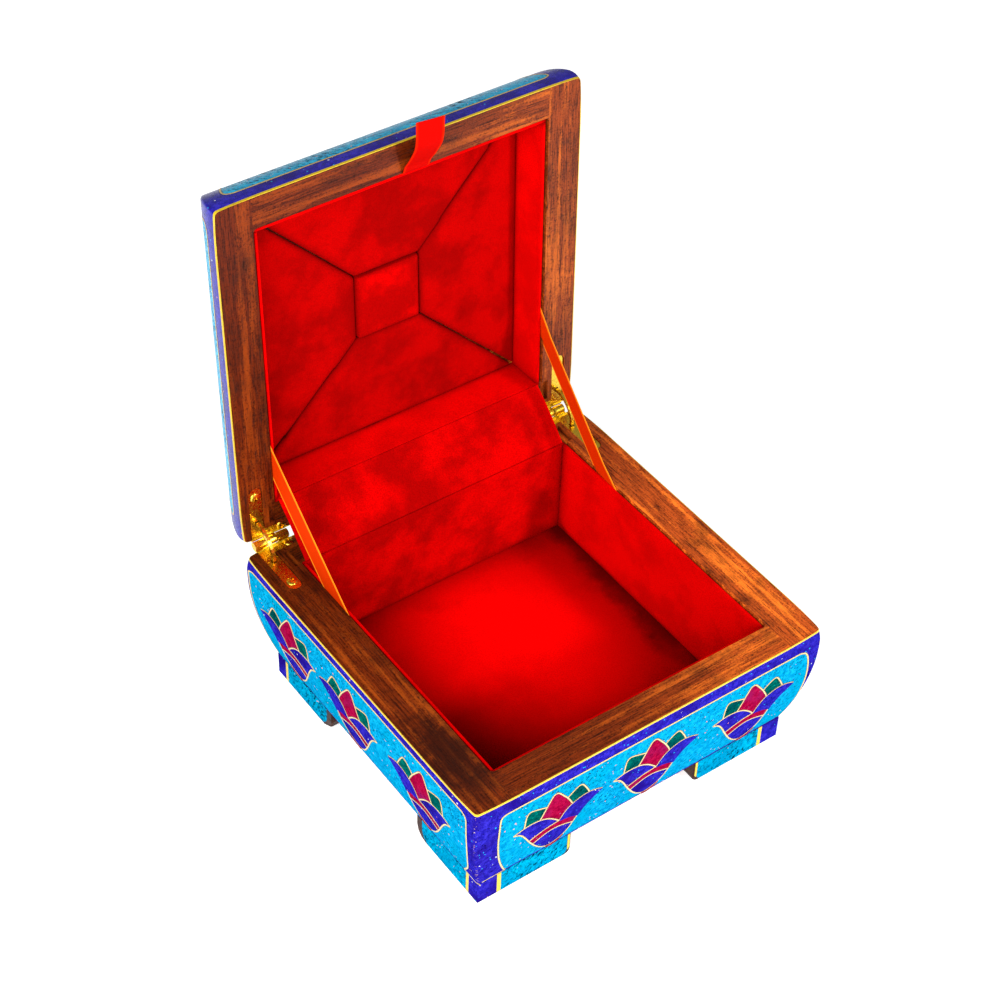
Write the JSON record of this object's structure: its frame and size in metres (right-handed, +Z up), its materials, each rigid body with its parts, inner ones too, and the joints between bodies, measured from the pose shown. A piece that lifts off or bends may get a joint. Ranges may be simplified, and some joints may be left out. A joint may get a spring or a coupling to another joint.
{
  "type": "jewelry box",
  "caption": "Square inlaid wooden jewelry box on bracket feet, with a domed hinged lid held open by quadrant hinges and ribbon stays, and a velvet lining.",
  "frame": {"origin": "on the table, under the middle of the box's bounding box with the lid open", "axes": "+Z up, -Y out of the front, +X to the right seen from the front"},
  "size_m": [0.18, 0.215, 0.2615],
  "materials": {
    "inlaid_wood": "stone mosaic and metal wire, ground flush and polished, over dark stained wood",
    "velvet": "red velvet",
    "ribbon": "satin ribbon",
    "brass": "polished"
  },
  "bodies": {
    "case": {"case_shell": "inlaid_wood", "foot_front_left": "inlaid_wood", "foot_front_right": "inlaid_wood", "foot_back_left": "inlaid_wood", "foot_back_right": "inlaid_wood", "case_floor_lining": "velvet", "case_lining_front": "velvet", "case_lining_back": "velvet", "case_lining_left": "velvet", "case_lining_right": "velvet", "hinge_flap": "velvet", "stay_ribbon_left": "ribbon", "stay_ribbon_right": "ribbon", "hinge_left_case_leaf": "brass", "hinge_left_pin": "brass", "hinge_left_screw_1": "brass", "hinge_left_screw_2": "brass", "hinge_right_case_leaf": "brass", "hinge_right_pin": "brass", "hinge_right_screw_1": "brass", "hinge_right_screw_2": "brass"},
    "lid": {"lid_shell": "inlaid_wood", "lid_band_front": "velvet", "lid_band_back": "velvet", "lid_band_left": "velvet", "lid_band_right": "velvet", "lid_pad_front": "velvet", "lid_pad_back": "velvet", "lid_pad_left": "velvet", "lid_pad_right": "velvet", "lid_pad_centre": "velvet", "pull_tab": "ribbon", "hinge_left_lid_leaf": "brass", "hinge_left_screw_3": "brass", "hinge_left_screw_4": "brass", "hinge_right_lid_leaf": "brass", "hinge_right_screw_3": "brass", "hinge_right_screw_4": "brass"},
    "quadrant_left": {"hinge_left_quadrant": "brass"},
    "quadrant_right": {"hinge_right_quadrant": "brass"}
  },
  "joints": [
    {"name": "lid_hinge", "type": "hinge", "parent": "case", "child": "lid", "pos_m": [0, 0.06946, 0.0713], "axis": [1, 0, 0], "range_deg": [0, 91.85], "deforming": ["hinge_flap", "stay_ribbon_left", "stay_ribbon_right", "pull_tab"]},
    {"name": "quadrant_left_turn", "type": "hinge", "parent": "case", "child": "quadrant_left", "pos_m": [-0.08085, 0.06946, 0.0713], "axis": [1, 0, 0], "range_deg": [0, 48.7]},
    {"name": "quadrant_right_turn", "type": "hinge", "parent": "case", "child": "quadrant_right", "pos_m": [0.08085, 0.06946, 0.0713], "axis": [1, 0, 0], "range_deg": [0, 48.7]}
  ],
  "couplings": [
    {"joint": "quadrant_left_turn", "follows": "lid_hinge", "ratio": 0.53},
    {"joint": "quadrant_right_turn", "follows": "lid_hinge", "ratio": 0.53}
  ]
}
